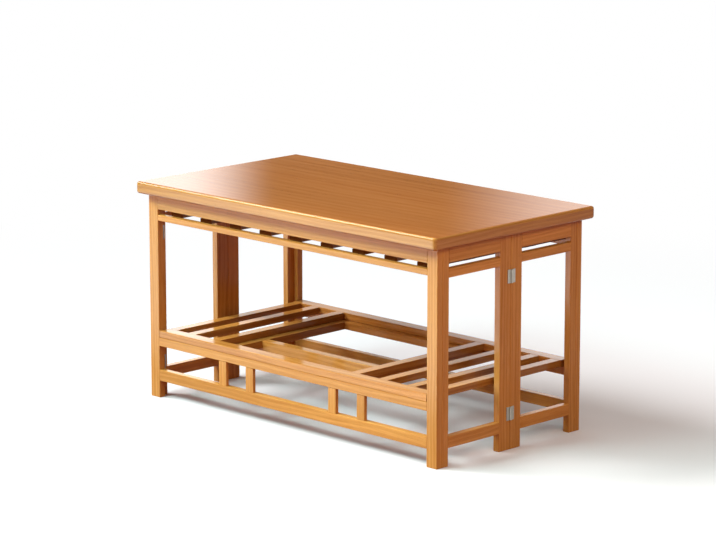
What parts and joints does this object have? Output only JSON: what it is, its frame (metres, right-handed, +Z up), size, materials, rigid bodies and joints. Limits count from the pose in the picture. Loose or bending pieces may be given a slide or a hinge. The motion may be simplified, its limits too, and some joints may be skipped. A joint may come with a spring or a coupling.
{
  "type": "folding kotatsu table",
  "caption": "Folding wooden heating table: loose slab top over a hinged panel frame, with slatted upper and lower racks and a ledge for a heater.",
  "frame": {"origin": "on the floor, under the middle of the table top", "axes": "+X along the table, -Y to the front that the picture shows, +Z up"},
  "size_m": [1.265, 0.687, 0.68],
  "materials": {
    "top_wood": "high-gloss clear lacquer",
    "frame_wood": "semi-gloss clear lacquer",
    "rack_wood": "gloss clear lacquer",
    "steel": "zinc-bright satin"
  },
  "bodies": {
    "front_frame": {"front_left_stile": "frame_wood", "front_right_stile": "frame_wood", "front_apron": "frame_wood", "front_upper_rail": "frame_wood", "front_shelf_rail": "frame_wood", "front_bottom_rail": "frame_wood", "front_strut_1": "frame_wood", "front_strut_2": "frame_wood", "front_strut_3": "frame_wood", "front_strut_4": "frame_wood", "front_right_upper_corner_hinge": "steel", "front_right_lower_corner_hinge": "steel", "front_left_upper_corner_hinge": "steel", "front_left_lower_corner_hinge": "steel"},
    "back_frame": {"back_left_stile": "frame_wood", "back_right_stile": "frame_wood", "back_apron": "frame_wood", "back_upper_rail": "frame_wood", "back_shelf_rail": "frame_wood", "back_bottom_rail": "frame_wood", "back_right_upper_corner_hinge": "steel", "back_right_lower_corner_hinge": "steel", "back_left_upper_corner_hinge": "steel", "back_left_lower_corner_hinge": "steel"},
    "right_front_leaf": {"right_front_corner_stile": "frame_wood", "right_front_middle_stile": "frame_wood", "right_front_apron": "frame_wood", "right_front_upper_rail": "frame_wood", "right_front_bottom_rail": "frame_wood", "right_upper_hinge_front_plate": "steel", "right_lower_hinge_front_plate": "steel"},
    "right_back_leaf": {"right_back_corner_stile": "frame_wood", "right_back_middle_stile": "frame_wood", "right_back_apron": "frame_wood", "right_back_upper_rail": "frame_wood", "right_back_bottom_rail": "frame_wood", "right_upper_hinge_back_plate": "steel", "right_lower_hinge_back_plate": "steel"},
    "left_front_leaf": {"left_front_corner_stile": "frame_wood", "left_front_middle_stile": "frame_wood", "left_front_apron": "frame_wood", "left_front_upper_rail": "frame_wood", "left_front_bottom_rail": "frame_wood", "left_upper_hinge_front_plate": "steel", "left_lower_hinge_front_plate": "steel"},
    "left_back_leaf": {"left_back_corner_stile": "frame_wood", "left_back_middle_stile": "frame_wood", "left_back_apron": "frame_wood", "left_back_upper_rail": "frame_wood", "left_back_bottom_rail": "frame_wood", "left_upper_hinge_back_plate": "steel", "left_lower_hinge_back_plate": "steel"},
    "lower_rack": {"lower_rack": "rack_wood", "heater_frame": "rack_wood"},
    "upper_rack": {"upper_rack": "rack_wood"},
    "table_top": {"table_top": "top_wood"}
  },
  "joints": [
    {"name": "right_front_fold", "type": "hinge", "parent": "front_frame", "child": "right_front_leaf", "pos_m": [0.5847, -0.2847, 0.32], "axis": [0, 0, 1], "range_deg": [0, 3.5]},
    {"name": "right_middle_fold", "type": "hinge", "parent": "right_front_leaf", "child": "right_back_leaf", "pos_m": [0.6133, 0, 0.32], "axis": [0, 0, 1], "range_deg": [-7, 0]},
    {"name": "right_back_fold", "type": "hinge", "parent": "right_back_leaf", "child": "back_frame", "pos_m": [0.5847, 0.2847, 0.32], "axis": [0, 0, 1], "range_deg": [0, 3.5]},
    {"name": "left_front_fold", "type": "hinge", "parent": "front_frame", "child": "left_front_leaf", "pos_m": [-0.5847, -0.2847, 0.32], "axis": [0, 0, 1], "range_deg": [-3.5, 0]},
    {"name": "left_middle_fold", "type": "hinge", "parent": "left_front_leaf", "child": "left_back_leaf", "pos_m": [-0.6133, 0, 0.32], "axis": [0, 0, 1], "range_deg": [0, 7]},
    {"name": "top_lift", "type": "slide", "parent": "front_frame", "child": "table_top", "axis": [0, 0, 1], "range_m": [0, 0.35]},
    {"name": "upper_rack_draw", "type": "slide", "parent": "front_frame", "child": "upper_rack", "axis": [0, -1, 0], "range_m": [0, 0.65]},
    {"name": "lower_rack_draw", "type": "slide", "parent": "front_frame", "child": "lower_rack", "axis": [0, -0.9511, 0.309], "range_m": [0, 0.7]}
  ],
  "couplings": [
    {"joint": "right_middle_fold", "follows": "right_front_fold", "ratio": -2},
    {"joint": "right_back_fold", "follows": "right_front_fold", "ratio": 1},
    {"joint": "left_front_fold", "follows": "right_front_fold", "ratio": -1},
    {"joint": "left_middle_fold", "follows": "right_front_fold", "ratio": 2}
  ]
}
